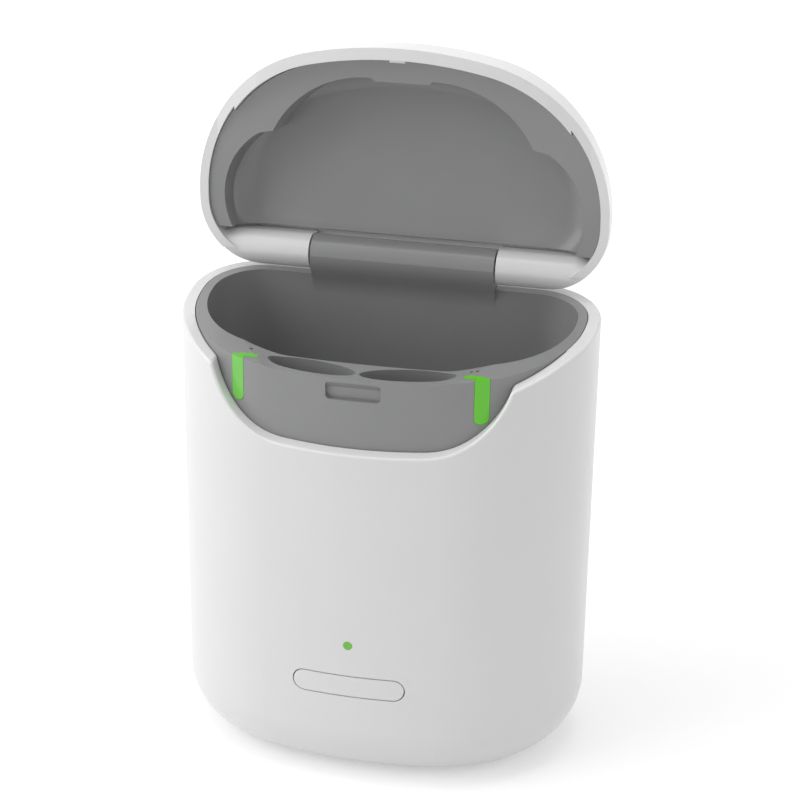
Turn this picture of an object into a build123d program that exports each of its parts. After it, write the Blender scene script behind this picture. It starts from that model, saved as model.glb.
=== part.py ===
from build123d import *
from math import atan2, cos, degrees, radians, sin, sqrt, tan
import os

# Hearing aid charger: a D-shaped pocket case with a hinged lid, two charging bays and a storage well.
# Millimetres, +Z up, front towards -Y. The origin is the middle of the base, on the line where
# the case is widest.

# Case outline, seen from above
half_width = 35.0
front_depth = 26.6
back_depth = 12.8
front_radius = 68.0
shoulder_radius = 25.5
back_radius = 11.5
least_radius = 0.8

# Case height and walls
body_height = 78.0
rim_slope = 9.0
base_radius = 9.5
shell_wall = 2.1
edge_round = 0.4
pad_stand = 0.3
fit_gap = 0.15
face_gap = 0.05
parting_gap = 0.3
moving_gap = 0.3

# Finger scoop in the front of the case, which the lid's lip drops into
scoop_side = 10.0
scoop_half_width = half_width - scoop_side
scoop_depth = 11.5
scoop_round = 13.5
scoop_bow = 0.5
scoop_top_round = 0.9
scoop_slant_blend = 12.0
scoop_foot_inset = 1.0
scoop_slant_foot = scoop_half_width - scoop_foot_inset
scoop_slant_side = 3.5
scoop_slant_half = half_width - scoop_slant_side
scoop_slant_drop = 1.8

# Lid
lid_height = 8.7
lid_round = 7.8
lid_wall = 1.5
lip_wall = 1.95
lip_wall_side = 6.8
lip_wall_half = half_width - lip_wall_side
lip_depth = 3.2
open_angle = 97.0

# Grey pan inside the lid and its lobed opening
liner_gap = 0.1
liner_lift = 0.8
liner_plate = 1.2
liner_back = 6.2
pan_wall = 1.2
mouth_back = 7.5
mouth_end_side = 6.2
mouth_half = half_width - mouth_end_side
mouth_side = 4.4
mouth_side_x = half_width - mouth_side
mouth_side_y = -1.5
mouth_step_side = 10.6
mouth_step_x = half_width - mouth_step_side
mouth_step_y = -10.6
mouth_step = 2.4
mouth_step_drop = 0.5
mouth_lobe_side = 19.7
mouth_lobe_x = half_width - mouth_lobe_side
mouth_lobe_set_back = 8.2
mouth_lobe_y = mouth_lobe_set_back - front_depth
mouth_tab_half = 4.6
mouth_tab_drop = 0.5
mouth_set_back = 5.5
mouth_front = mouth_set_back - front_depth

# Hinge
barrel_radius = 3.0
barrel_lift = 0.3
knuckle_half_length = 15.9
barrel_side = 3.5
barrel_end = half_width - barrel_side
barrel_web = 1.5
web_front = 6.8
press_gap = 0.01
pin_radius = 0.9
pin_inner_end = 9.0
pin_outer_end = 26.0
pin_running_gap = 0.05

# Grey insert: rim, storage well, ledge and bays
insert_wall = 1.5
insert_depth = 29.1
insert_base = body_height - insert_depth
well_depth = 27.3
well_floor = body_height - well_depth
well_front_inset = 9.2
well_shoulder = 17.0
well_front_radius = 149.0
well_corner = 3.0
bay_length = 15.4
bay_width = 5.1
bay_x = 7.9
bay_set_back = 6.4
bay_y = bay_set_back - front_depth
bay_turn = 11.0
bay_depth = 19.3
bay_floor = body_height - bay_depth
bay_floor_wall = 1.5
ledge_half_level = 14.0
ledge_ramp = 12.0
ledge_ramp_round = 12.0
edge_break = 0.4
ledge_front_wall = 1.4
rib_wall = 1.0
pocket_side = 11.0
pocket_end_x = half_width - pocket_side
knuckle_drop = 3.8
knuckle_root = body_height - knuckle_drop
insert_screw_side = 9.0
insert_screw_x = half_width - insert_screw_side
insert_screw_y = -13.0

# Latch slot in the insert and the nib on the lid's lip
slot_width = 9.0
slot_height = 3.0
slot_drop = 8.0
slot_depth = 0.9
slot_corner = 0.7
slot_lip = 1.1
nib_width = 2.6
nib_height = 0.6
nib_reach = 0.45

# Charge light pipes
pipe_side = 15.0
pipe_x = half_width - pipe_side
pipe_width = 2.2
pipe_tip_drop = 12.6
pipe_depth = 1.0
pipe_leg_length = 3.2
pipe_leg_depth = 1.0
pipe_leg_height = 0.9
pipe_stem_depth = 1.6
pipe_proud = 0.04
pipe_stem_set_back = 0.3
pipe_stem_rise = 4.7
pipe_neck = 2.0
pipe_tip_round = 1.0
pipe_leg_set_back = 0.3
mark_inset = 1.4
mark_x = pipe_x - mark_inset
mark_set_back = 8.8
mark_y = mark_set_back - front_depth
mark_radius = 0.3
mark_depth = 0.2
mark_pitch = 1.0

# Contact board, pins and lights under the bays
contact_board_drop = 2.7
contact_board_top = bay_floor - contact_board_drop
board_thickness = 0.8
board_edge_gap = 0.25
contact_pitch = 6.4
contact_screw_inset = 2.8
contact_screw_x = pipe_x - contact_screw_inset
contact_screw_set_back = 7.65
contact_screw_y = contact_screw_set_back - front_depth
contact_boss_radius = 1.6
barrel_pin_radius = 0.8
plunger_radius = 0.45
plunger_running_gap = 0.05
plunger_rise = 1.3
plunger_top = bay_floor + plunger_rise
plunger_bottom = bay_floor - plunger_rise
pin_barrel_drop = 0.1
pin_barrel_top = bay_floor - pin_barrel_drop
pin_bore_drop = 2.3
pin_bore_bottom = bay_floor - pin_bore_drop
led_width = 1.6
led_depth = 0.8
led_height = 0.6
led_gap = 0.1

# Battery and frame
battery_width = 48.0
battery_head_room = 2.4
battery_thickness = 9.0
battery_back = 1.6
battery_corner = 1.5
battery_tape = 0.3
frame_wall = 1.5
frame_shelf_bottom = 13.0
frame_shelf_front = -10.9
shelf_notch_half = 11.5
shelf_notch_back = -8.4
post_side = 13.7
post_x = half_width - post_side
post_y = -4.0
post_radius = 3.0
fin_x = 14.0
fin_thickness = 3.2
fin_drop = 5.0
frame_ear = 1.7
button_screw_drop = 9.0

# Main board and charging inlet
main_board_half_width = 18.0
main_board_front = -10.5
main_board_back = 10.3
main_board_top = 11.4
standoff_x = 14.0
standoff_y = -5.0
standoff_radius = 2.2
board_screw_bite = 2.6
chip_x = 6.0
chip_y = 0.5
chip_size = 5.0
chip_height = 1.0
header_inner = 5.0
header_outer = 9.0
lead_radius = 0.4
lead_rise = 3.0
lead_bend = 1.2
flex_half_width = 3.0
flex_thickness = 0.2
flex_bend = 1.5
flex_set_ahead = 2.2
flex_plug_half = 3.8
flex_plug_depth = 2.4
flex_plug_height = 1.3
usb_width = 8.94
usb_height = 3.26
usb_wall = 0.3
usb_depth = 7.4
usb_set_back = 0.9
usb_mouth_gap = 0.35
usb_tongue_width = 6.7
usb_tongue_thickness = 0.7
usb_tongue_length = 4.6

# Button, its switch and the status light
button_half_length = 9.6
button_width = 4.0
button_z = 18.6
button_gap = 0.2
button_travel = 0.35
flange_wall = 0.8
flange_lap = 0.7
switch_size = 6.0
switch_body = 3.1
plunger_cap_radius = 1.6
plunger_cap_reach = 0.9
button_board_side = 16.0
button_board_half_width = half_width - button_board_side
button_board_bottom = 9.0
button_board_drop = 9.9
button_board_top = insert_base - button_board_drop
button_board_set_back = 8.4
button_board_face = button_board_set_back - front_depth
status_z = 26.2
status_radius = 0.73
status_collar = 1.4

# Screws
screw_radius = 0.7
screw_head_radius = 1.4
screw_head_height = 0.9
screw_socket = 0.45
screw_bite = 3.0
base_screw_radius = 1.0
base_screw_head_radius = 2.0
base_screw_length = 6.0

# Foot pad
floor_boss = 2.0
pad_inset = 0.8
pad_recess = 0.7

os.makedirs("parts", exist_ok=True)

axis_y = back_depth - barrel_radius
axis_z = body_height + barrel_lift + barrel_radius
lid_top = body_height + lid_height
insert_inset = shell_wall + fit_gap
usb_z = main_board_top + usb_height / 2
rim_plane = Plane(
    origin=(0, back_depth, body_height),
    x_dir=(1, 0, 0),
    z_dir=(0, -sin(radians(rim_slope)), cos(radians(rim_slope))),
)


def rim_height(y):
    """Height of the sloped rim at a distance from the widest line."""
    return body_height - tan(radians(rim_slope)) * (back_depth - y)


def front_arcs(inset, front_inset, shoulder, radius=front_radius):
    """Radii and centres of the front arc and the shoulder arcs, with the angle where they meet."""
    r_front = radius - front_inset
    front_y = radius - front_depth
    shoulder_x = half_width - inset - shoulder
    shoulder_y = front_y - sqrt((r_front - shoulder) ** 2 - shoulder_x**2)
    swing = degrees(atan2(shoulder_x, front_y - shoulder_y))
    return r_front, front_y, shoulder_x, shoulder_y, swing


def front_at(x, inset):
    """Where the front of an outline lies at a distance from the middle."""
    r_shoulder = shoulder_radius - inset
    r_front, front_y, shoulder_x, shoulder_y, swing = front_arcs(inset, inset, r_shoulder)
    if x < r_front * sin(radians(swing)):
        return front_y - sqrt(r_front**2 - x**2)
    return shoulder_y - sqrt(r_shoulder**2 - (x - shoulder_x) ** 2)


def outline(height, inset, front_inset=None, shoulder=None, radius=front_radius):
    """D-shaped face at a height, drawn in by an inset all round."""
    half = half_width - inset
    back = back_depth - inset
    r_shoulder = (shoulder_radius - inset) if shoulder is None else shoulder
    r_back = max(back_radius - inset, least_radius)
    r_front, front_y, shoulder_x, shoulder_y, swing = front_arcs(
        inset, inset if front_inset is None else front_inset, r_shoulder, radius
    )
    with BuildSketch(Plane.XY.offset(height)) as face:
        with BuildLine():
            CenterArc((0, front_y), r_front, -90 - swing, 2 * swing)
            right = [
                CenterArc((shoulder_x, shoulder_y), r_shoulder, swing - 90, 90 - swing),
                Line((half, shoulder_y), (half, back - r_back)),
                CenterArc((half - r_back, back - r_back), r_back, 0, 90),
            ]
            mirror(right, about=Plane.YZ)
            Line((half - r_back, back), (r_back - half, back))
        make_face()
    return face.sketch


def body_form(offset, top):
    """The case's outside, or a skin inside it, up to a level top."""
    low = pad_stand + offset
    with BuildPart() as form:
        add(outline(low, offset))
        extrude(amount=top - low)
        fillet(form.faces().sort_by(Axis.Z)[0].edges(), base_radius - offset)
    return form.part


def lid_form(offset, bottom):
    """The lid's outside, or a skin inside it, from a level bottom below the rim."""
    with BuildPart() as form:
        add(outline(bottom, offset))
        extrude(amount=lid_top - offset - bottom)
        fillet(form.faces().sort_by(Axis.Z)[-1].edges(), lid_round - offset)
    return form.part


def above_rim(gap, reach):
    """Everything over the sloped rim, starting a gap above it."""
    with BuildPart() as region:
        with BuildSketch(rim_plane.offset(gap)):
            Rectangle(4 * half_width, 4 * half_width)
        extrude(amount=reach)
    return region.part


def rod(x_low, x_high, radius):
    """A cylinder on the hinge line."""
    with BuildPart() as bar:
        with BuildSketch(Plane.YZ.offset(x_low)):
            with Locations((axis_y, axis_z)):
                Circle(radius)
        extrude(amount=x_high - x_low)
    return bar.part


def block(x_low, x_high, y_low, y_high, z_low, z_high):
    """A box from its limits."""
    with BuildPart() as cuboid:
        with BuildSketch(Plane.XY.offset(z_low)):
            with Locations(((x_low + x_high) / 2, (y_low + y_high) / 2)):
                Rectangle(x_high - x_low, y_high - y_low)
        extrude(amount=z_high - z_low)
    return cuboid.part


def finish(piece, name):
    """Name a finished piece and write its file."""
    piece.part.label = name
    export_step(piece.part, f"parts/{name}.step")


def screw(plane, head_radius, length, radius=screw_radius):
    """A pan-head screw on a plane, its shank along the plane's normal, with a square socket."""
    with BuildPart() as fastener:
        with BuildSketch(plane):
            Circle(radius)
        extrude(amount=length)
        with BuildSketch(plane):
            Circle(head_radius)
        extrude(amount=-screw_head_height)
        fillet(fastener.edges().filter_by(GeomType.CIRCLE).sort_by(SortBy.RADIUS)[-1], screw_head_height / 3)
        with BuildSketch(plane.offset(-screw_head_height)):
            Rectangle(2 * screw_socket, 2 * screw_socket)
        extrude(amount=screw_head_height / 2, mode=Mode.SUBTRACT)
    return fastener.part


along_rim = Plane(
    origin=(0, -front_depth / 3, rim_height(-front_depth / 3)),
    x_dir=(1, 0, 0),
    z_dir=(0, -cos(radians(rim_slope)), -sin(radians(rim_slope))),
)
case_outside = body_form(0, lid_top)
case_inside = body_form(shell_wall, lid_top)
behind_wall = body_form(shell_wall + face_gap, insert_base)
behind_flange = body_form(shell_wall + face_gap + flange_wall, insert_base)
insert_outside = body_form(insert_inset, lid_top)
lid_outside = lid_form(0, insert_base)
lid_inside = lid_form(lid_wall, insert_base)
lip_inside = lid_form(lip_wall, insert_base)
over_rim = above_rim(0, 3 * lid_height)
over_gap = above_rim(parting_gap, 3 * lid_height)
knuckle_space = knuckle_half_length + moving_gap

side_faces = case_outside.faces().filter_by(lambda face: face.bounding_box().size.Z > body_height / 2)
floor_top = pad_stand + shell_wall
base_screw_plane_z = pad_stand + pad_recess + screw_head_height


def on_outside(edge):
    """Whether an edge lies on the case's upright outside, above the foot of the scoop."""
    middle = edge.position_at(0.5)
    if middle.Z < insert_base:
        return False
    return min(face.distance_to(middle) for face in side_faces) < face_gap / 10


# Outer shell: one moulded cup with the scoop in its front and holes for inlet, button and light
with BuildSketch(along_rim) as scoop:
    with BuildLine():
        Line((-scoop_half_width, lid_height), (-scoop_half_width, scoop_bow - scoop_depth))
        ThreePointArc(
            (-scoop_half_width, scoop_bow - scoop_depth),
            (0, -scoop_depth),
            (scoop_half_width, scoop_bow - scoop_depth),
        )
        Line((scoop_half_width, scoop_bow - scoop_depth), (scoop_half_width, lid_height))
        Line((scoop_half_width, lid_height), (-scoop_half_width, lid_height))
    make_face()
    fillet(scoop.vertices().group_by(Axis.Y)[0], scoop_round)
    with BuildLine():
        Polyline(
            (-scoop_slant_foot, -scoop_slant_drop),
            (scoop_slant_foot, -scoop_slant_drop),
            (scoop_slant_half, 0),
            (half_width + lid_height, 0),
            (half_width + lid_height, lid_height),
            (-half_width - lid_height, lid_height),
            (-half_width - lid_height, 0),
            (-scoop_slant_half, 0),
            close=True,
        )
    make_face()
    fillet(scoop.vertices().filter_by(lambda corner: abs(abs(corner.X) - scoop_slant_half) < face_gap),
           scoop_slant_blend)
    slant_feet = scoop.vertices().filter_by(lambda corner: scoop_slant_foot < abs(corner.X) < scoop_half_width)
    fillet(slant_feet, scoop_top_round)
with BuildPart() as scoop_cut:
    extrude(scoop.sketch, amount=front_depth)
    add(over_rim)
with BuildPart() as outer_shell:
    add(case_outside)
    add(case_inside, mode=Mode.SUBTRACT)
    add(scoop_cut.part, mode=Mode.SUBTRACT)
    fillet(outer_shell.edges().filter_by(on_outside), edge_round)
    with BuildSketch(Plane.XY.offset(floor_top)):
        with Locations((-post_x, post_y), (post_x, post_y)):
            Circle(post_radius)
    extrude(amount=floor_boss)
    with BuildSketch(Plane.XZ.offset(front_depth / 2)):
        with Locations((0, button_z)):
            SlotOverall(2 * button_half_length, button_width)
        with Locations((0, status_z)):
            Circle(status_radius + face_gap)
    extrude(amount=front_depth, mode=Mode.SUBTRACT)
    with BuildSketch(Plane.XZ.offset(-back_depth / 2)):
        with Locations((0, usb_z)):
            SlotOverall(usb_width + 2 * usb_mouth_gap, usb_height + 2 * usb_mouth_gap)
    extrude(amount=-back_depth, mode=Mode.SUBTRACT)
    with BuildSketch(Plane.XY):
        add(outline(0, base_radius + pad_inset))
    extrude(amount=pad_recess + pad_stand, mode=Mode.SUBTRACT)
    with BuildSketch(Plane.XY):
        with Locations((-post_x, post_y), (post_x, post_y)):
            Circle(base_screw_radius + face_gap)
    extrude(amount=base_screw_length, mode=Mode.SUBTRACT)
    with BuildSketch(Plane.XY):
        with Locations((-post_x, post_y), (post_x, post_y)):
            Circle(base_screw_head_radius + face_gap)
    extrude(amount=base_screw_plane_z, mode=Mode.SUBTRACT)
finish(outer_shell, "outer_shell")

# Charging insert: grey moulding with the storage well, the ledge, the two bays and the hinge knuckle
well_inset = insert_inset + insert_wall
pocket_top = bay_floor - bay_floor_wall
pocket_front = insert_inset + ledge_front_wall
pipe_front = front_at(pipe_x, insert_inset)
pipe_back = pipe_front + pipe_depth
stem_front = front_at(pipe_x, pocket_front) + pipe_stem_set_back
stem_back = stem_front + pipe_stem_depth
stem_foot = contact_board_top + led_height + led_gap
pipe_tip = body_height - pipe_tip_drop
stem_top = pipe_tip + pipe_stem_rise
leg_end = pipe_x - pipe_leg_length
leg_front = pipe_front + pipe_leg_set_back
leg_floor = rim_height(pipe_front) - pipe_leg_height
ledge_level = rim_height(front_at(0, insert_inset))
slot_z = body_height - slot_drop
slot_back = front_at(0, insert_inset) + slot_depth
knuckle_front = axis_y - barrel_radius
insert_back = back_depth - insert_inset
well_back = back_depth - well_inset
contact_screw_places = [(-contact_screw_x, contact_screw_y), (contact_screw_x, contact_screw_y)]
insert_screw_places = [(-insert_screw_x, insert_screw_y), (insert_screw_x, insert_screw_y)]


def bay_contacts(side):
    """Places of the two contacts under the left (-1) or the right (+1) bay."""
    reach = contact_pitch / 2
    turn = radians(side * bay_turn)
    middle = side * bay_x
    return [(middle + step * cos(turn), bay_y + step * sin(turn)) for step in (-reach, reach)]


def ledge_space(lift):
    """The space over the level ledge, ramped up at its ends, starting a lift above it."""
    rise = lid_top - ledge_level
    half_top = ledge_half_level + rise / tan(radians(ledge_ramp))
    with BuildPart() as space:
        with BuildSketch(Plane.XZ.offset(front_depth / 3)) as profile:
            with BuildLine():
                Polyline(
                    (-ledge_half_level, ledge_level + lift),
                    (ledge_half_level, ledge_level + lift),
                    (half_top, ledge_level + lift + rise),
                    (-half_top, ledge_level + lift + rise),
                    close=True,
                )
            make_face()
            fillet(profile.vertices().group_by(Axis.Y)[0], ledge_ramp_round)
        extrude(amount=front_depth)
    return space.part


def pipe_shape(gap):
    """The right-hand light pipe before trimming, or the hole for it with a gap all round."""
    half = pipe_width / 2 + gap
    with BuildPart() as shape:
        with BuildSketch(Plane.XZ.offset(-pipe_back - gap)) as bar:
            with Locations((pipe_x, pipe_tip - gap)):
                Rectangle(2 * half, lid_top - pipe_tip, align=(Align.CENTER, Align.MIN))
            fillet(bar.vertices().group_by(Axis.Y)[0], pipe_tip_round)
        extrude(amount=pipe_depth + shell_wall)
        add(block(pipe_x - half, pipe_x + half, pipe_front, stem_back + gap, stem_top - pipe_neck - gap, stem_top + gap))
        add(block(pipe_x - half, pipe_x + half, stem_front - gap, stem_back + gap, stem_foot - gap, stem_top + gap))
        add(block(leg_end - gap, pipe_x, leg_front - gap, leg_front + pipe_leg_depth + gap, leg_floor - gap, lid_top))
    return shape.part


pipe_hole = pipe_shape(face_gap)
over_ledge = ledge_space(0)
with BuildPart() as well_space:
    add(outline(well_floor, well_inset, well_front_inset, well_shoulder, well_front_radius))
    extrude(amount=lid_top - well_floor)
    fillet(well_space.faces().sort_by(Axis.Z)[0].edges(), well_corner)

slot_top = slot_z + slot_height / 2
with BuildPart() as latch_slot:
    with BuildSketch(Plane.XZ.offset(-slot_back)):
        with Locations((0, slot_z)):
            RectangleRounded(slot_width, slot_height, slot_corner)
    extrude(amount=front_depth)
    with BuildSketch(Plane.YZ.offset(-slot_width)):
        with BuildLine():
            Polyline(
                (slot_back, 0),
                (slot_back, slot_top - slot_lip),
                (slot_back - slot_depth, slot_top),
                (-front_depth, slot_top),
                (-front_depth, 0),
                close=True,
            )
        make_face()
    extrude(amount=2 * slot_width, mode=Mode.INTERSECT)

with BuildPart() as charging_insert:
    add(insert_outside)
    add(block(-half_width, half_width, -front_depth, back_depth, 0, insert_base), mode=Mode.SUBTRACT)
    add(well_space.part, mode=Mode.SUBTRACT)
    add(over_rim, mode=Mode.SUBTRACT)
    add(over_ledge, mode=Mode.SUBTRACT)
    for side in (-1, 1):
        with BuildSketch(Plane.XY.offset(bay_floor)):
            with Locations(Location((side * bay_x, bay_y, 0), (0, 0, side * bay_turn))):
                Ellipse(bay_length / 2, bay_width / 2)
        extrude(amount=lid_top - bay_floor, mode=Mode.SUBTRACT)
    with BuildSketch(Plane.XY.offset(insert_base)):
        add(outline(insert_base, pocket_front).face())
        add(outline(insert_base, well_inset - rib_wall, well_front_inset - rib_wall,
                    well_shoulder + rib_wall, well_front_radius).face(), mode=Mode.SUBTRACT)
        Rectangle(2 * pocket_end_x, 2 * front_depth, mode=Mode.INTERSECT)
    extrude(amount=pocket_top - insert_base, mode=Mode.SUBTRACT)
    with BuildSketch(Plane.XY.offset(contact_board_top)):
        with Locations(*contact_screw_places):
            Circle(contact_boss_radius)
    extrude(amount=pocket_top - contact_board_top)
    with BuildSketch(Plane.XY.offset(contact_board_top)):
        with Locations(*contact_screw_places):
            Circle(screw_radius + face_gap)
    extrude(amount=screw_bite + face_gap, mode=Mode.SUBTRACT)
    with BuildSketch(Plane.XY.offset(insert_base)):
        with Locations(*insert_screw_places):
            Circle(screw_radius + face_gap)
    extrude(amount=screw_bite + face_gap, mode=Mode.SUBTRACT)
    with BuildSketch(Plane.XY.offset(pocket_top)):
        with Locations(*bay_contacts(-1), *bay_contacts(1)):
            Circle(barrel_pin_radius + face_gap)
    extrude(amount=bay_floor_wall, mode=Mode.SUBTRACT)
    add(pipe_hole, mode=Mode.SUBTRACT)
    add(mirror(pipe_hole, about=Plane.YZ, mode=Mode.PRIVATE), mode=Mode.SUBTRACT)
    add(latch_slot.part, mode=Mode.SUBTRACT)
    with BuildSketch(Plane.YZ.offset(-knuckle_half_length)) as neck:
        with BuildLine():
            Bezier(
                (well_back, knuckle_root),
                (well_back, (knuckle_root + axis_z) / 2),
                (knuckle_front, (knuckle_root + axis_z) / 2),
                (knuckle_front, axis_z),
            )
            Line((knuckle_front, axis_z), (insert_back, axis_z))
            Line((insert_back, axis_z), (insert_back, knuckle_root))
            Line((insert_back, knuckle_root), (well_back, knuckle_root))
        make_face()
        with Locations((axis_y, axis_z)):
            Circle(barrel_radius)
    extrude(amount=2 * knuckle_half_length)
    add(lid_form(0, 0), mode=Mode.INTERSECT)
    for side in (-1, 1):
        with BuildSketch(Plane.YZ.offset(side * pin_inner_end)):
            with Locations((axis_y, axis_z)):
                Circle(pin_radius + press_gap)
        extrude(amount=side * half_width, mode=Mode.SUBTRACT)
    with BuildSketch(Plane.XY.offset(rim_height(mark_y) - mark_depth - edge_break)):
        with Locations((-mark_x, mark_y), (mark_x, mark_y), (mark_x - mark_pitch, mark_y)):
            Circle(mark_radius)
    extrude(amount=lid_height, mode=Mode.SUBTRACT)
finish(charging_insert, "charging_insert")

# Light pipes: clear L-shaped mouldings that carry the charge lights up to the ledge
for side, name in ((1, "right_light_pipe"), (-1, "left_light_pipe")):
    with BuildPart() as light_pipe:
        add(pipe_shape(0))
        add(body_form(insert_inset - pipe_proud, lid_top), mode=Mode.INTERSECT)
        add(above_rim(pipe_proud, lid_height), mode=Mode.SUBTRACT)
        add(ledge_space(pipe_proud), mode=Mode.SUBTRACT)
        if side < 0:
            mirror(about=Plane.YZ)
            add(block(0, half_width, -front_depth, back_depth, 0, lid_top), mode=Mode.SUBTRACT)
    finish(light_pipe, name)

# Lid: white dome with a shallow lip that follows the scoop, and a hinge barrel at each side
hinge_line = Axis((0, axis_y, axis_z), (1, 0, 0))
lid_swing = barrel_radius + moving_gap
lip_end = parting_gap - scoop_slant_drop
with BuildPart() as lip_reach:
    with BuildSketch(along_rim):
        with BuildLine():
            Line((-scoop_slant_half, parting_gap), (-scoop_slant_foot, lip_end))
            ThreePointArc((-scoop_slant_foot, lip_end), (0, -lip_depth), (scoop_slant_foot, lip_end))
            Line((scoop_slant_foot, lip_end), (scoop_slant_half, parting_gap))
            Line((scoop_slant_half, parting_gap), (scoop_slant_half, scoop_depth))
            Line((scoop_slant_half, scoop_depth), (-scoop_slant_half, scoop_depth))
            Line((-scoop_slant_half, scoop_depth), (-scoop_slant_half, parting_gap))
        make_face()
    extrude(amount=front_depth)
with BuildPart() as dome:
    add(lid_outside)
    add(lid_inside, mode=Mode.SUBTRACT)
    add(over_gap, mode=Mode.INTERSECT)
with BuildPart() as lip:
    add(lid_outside)
    add(lip_inside, mode=Mode.SUBTRACT)
    add(lip_reach.part, mode=Mode.INTERSECT)
    add(block(-lip_wall_half, lip_wall_half, -front_depth, 0, insert_base, lid_top), mode=Mode.INTERSECT)
with BuildPart() as lip_ends:
    add(lid_outside)
    add(lid_inside, mode=Mode.SUBTRACT)
    add(lip_reach.part, mode=Mode.INTERSECT)
with BuildPart() as barrels:
    add(rod(knuckle_space, barrel_end, barrel_radius))
    add(block(knuckle_space, barrel_end, web_front, web_front + barrel_web, axis_z, lid_top - lid_wall / 2))
    mirror(about=Plane.YZ)
    add(lid_outside, mode=Mode.INTERSECT)
with BuildPart() as closed_lid:
    add(dome.part)
    add(lip.part)
    add(lip_ends.part)
    add(block(-half_width, half_width, axis_y, back_depth, insert_base, axis_z), mode=Mode.SUBTRACT)
    add(block(-knuckle_space, knuckle_space, axis_y - lid_swing, back_depth, insert_base, axis_z + lid_swing),
        mode=Mode.SUBTRACT)
    add(barrels.part)
    add(rod(-pin_outer_end - moving_gap, pin_outer_end + moving_gap, pin_radius + pin_running_gap), mode=Mode.SUBTRACT)
    with BuildSketch(Plane.XZ.offset(front_depth - lip_wall - nib_reach)):
        with Locations((0, slot_z)):
            RectangleRounded(nib_width, nib_height, nib_height / 3)
    extrude(amount=nib_reach + lip_wall / 2)
with BuildPart() as lid_shell:
    add(closed_lid.part.rotate(hinge_line, -open_angle))
finish(lid_shell, "lid_shell")

# Lid liner: grey pan clipped into the lid, with a lobed opening over the bays and the well
liner_inset = lip_wall + liner_gap
with BuildSketch() as pan_mouth:
    with BuildLine():
        lobes = [
            Line((0, mouth_back), (mouth_half, mouth_back)),
            ThreePointArc((mouth_half, mouth_back), (mouth_side_x, mouth_side_y), (mouth_step_x, mouth_step_y)),
            Line((mouth_step_x, mouth_step_y), (mouth_step_x - mouth_step, mouth_step_y - mouth_step_drop)),
            ThreePointArc(
                (mouth_step_x - mouth_step, mouth_step_y - mouth_step_drop),
                (mouth_lobe_x, mouth_lobe_y),
                (mouth_tab_half + mouth_tab_drop, mouth_front),
            ),
            Line((mouth_tab_half + mouth_tab_drop, mouth_front), (mouth_tab_half, mouth_front + mouth_tab_drop)),
            Line((mouth_tab_half, mouth_front + mouth_tab_drop), (0, mouth_front + mouth_tab_drop)),
        ]
        mirror(lobes, about=Plane.YZ)
    make_face()
with BuildPart() as pan_walls:
    with BuildSketch(Plane.XY.offset(insert_base)):
        add(pan_mouth.sketch)
        offset(amount=pan_wall, kind=Kind.ARC)
    extrude(amount=lid_top - insert_base)
with BuildPart() as pan_space:
    with BuildSketch(Plane.XY.offset(insert_base)):
        add(pan_mouth.sketch)
    extrude(amount=lid_top - insert_base)
    add(lid_form(liner_inset + pan_wall, insert_base), mode=Mode.INTERSECT)
with BuildPart() as liner_reach:
    add(lid_form(lid_wall + liner_gap, insert_base))
    add(block(-lip_wall_half - liner_gap, lip_wall_half + liner_gap, -front_depth, 0, insert_base, lid_top),
        mode=Mode.SUBTRACT)
    add(lid_form(liner_inset, insert_base))
with BuildPart() as closed_liner:
    add(above_rim(liner_lift, liner_plate))
    add(pan_walls.part)
    add(above_rim(liner_lift, body_height), mode=Mode.INTERSECT)
    add(liner_reach.part, mode=Mode.INTERSECT)
    add(pan_space.part, mode=Mode.SUBTRACT)
    add(block(-half_width, half_width, liner_back, back_depth, insert_base, lid_top), mode=Mode.SUBTRACT)
with BuildPart() as lid_liner:
    add(closed_liner.part.rotate(hinge_line, -open_angle))
finish(lid_liner, "lid_liner")

# Hinge pins: two steel stubs pressed into the knuckle, on which the barrels turn
with BuildPart() as hinge_pins:
    add(rod(pin_inner_end, pin_outer_end, pin_radius))
    mirror(about=Plane.YZ)
finish(hinge_pins, "hinge_pins")

# Contact board under the bays, with its two charge lights and screws
with BuildPart() as contact_board:
    with BuildSketch(Plane.XY.offset(contact_board_top)):
        add(outline(contact_board_top, pocket_front + board_edge_gap).face())
        add(outline(contact_board_top, well_inset - rib_wall - board_edge_gap,
                    well_front_inset - rib_wall - board_edge_gap,
                    well_shoulder + rib_wall + board_edge_gap, well_front_radius).face(), mode=Mode.SUBTRACT)
        Rectangle(2 * (pocket_end_x - board_edge_gap), 2 * front_depth, mode=Mode.INTERSECT)
        with Locations(*contact_screw_places):
            Circle(screw_radius + face_gap, mode=Mode.SUBTRACT)
    extrude(amount=-board_thickness)
finish(contact_board, "contact_board")

with BuildPart() as charge_leds:
    with BuildSketch(Plane.XY.offset(contact_board_top)):
        with Locations((-pipe_x, (stem_front + stem_back) / 2), (pipe_x, (stem_front + stem_back) / 2)):
            Rectangle(led_width, led_depth)
    extrude(amount=led_height)
finish(charge_leds, "charge_leds")

with BuildPart() as contact_board_screws:
    for place in contact_screw_places:
        add(screw(Plane((*place, contact_board_top - board_thickness)), screw_head_radius, board_thickness + screw_bite))
finish(contact_board_screws, "contact_board_screws")

# Spring contacts: a fixed brass barrel for each, and the plunger that a hearing aid presses down
with BuildPart() as contact_barrels:
    with BuildSketch(Plane.XY.offset(contact_board_top)):
        with Locations(*bay_contacts(-1), *bay_contacts(1)):
            Circle(barrel_pin_radius)
    extrude(amount=pin_barrel_top - contact_board_top)
    with BuildSketch(Plane.XY.offset(pin_bore_bottom)):
        with Locations(*bay_contacts(-1), *bay_contacts(1)):
            Circle(plunger_radius + plunger_running_gap)
    extrude(amount=pin_barrel_top - pin_bore_bottom, mode=Mode.SUBTRACT)
finish(contact_barrels, "contact_barrels")

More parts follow.
